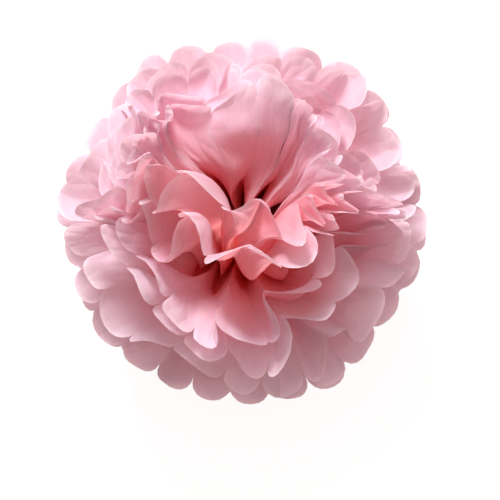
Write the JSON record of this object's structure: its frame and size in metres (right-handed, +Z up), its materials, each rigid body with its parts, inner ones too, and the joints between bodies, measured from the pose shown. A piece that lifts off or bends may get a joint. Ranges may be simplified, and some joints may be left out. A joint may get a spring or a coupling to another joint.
{
  "type": "tissue paper pom pom",
  "caption": "Ball of pleated tissue paper sheets, tied at the middle and fluffed into nested petals.",
  "frame": {"origin": "centre of the bounding box in X and Y, on the surface that the lowest petals rest on", "axes": "+Z up, along the stack of sheets, shortest extent; the folded strip ran along Y, so the slits between the half fans start at +X and -X"},
  "size_m": [0.2542, 0.251, 0.221],
  "materials": {
    "tissue": "thin matte tissue paper, pale cool pink, lets light through",
    "tie_wire": "thin bare soft wire"
  },
  "bodies": {
    "root": {"lower_sheet_1": "tissue", "lower_sheet_2": "tissue", "lower_sheet_3": "tissue", "lower_sheet_4": "tissue", "upper_sheet_1": "tissue", "upper_sheet_2": "tissue", "upper_sheet_3": "tissue", "upper_sheet_4": "tissue", "upper_sheet_5": "tissue", "upper_sheet_6": "tissue", "tie_wire": "tie_wire"}
  },
  "joints": []
}
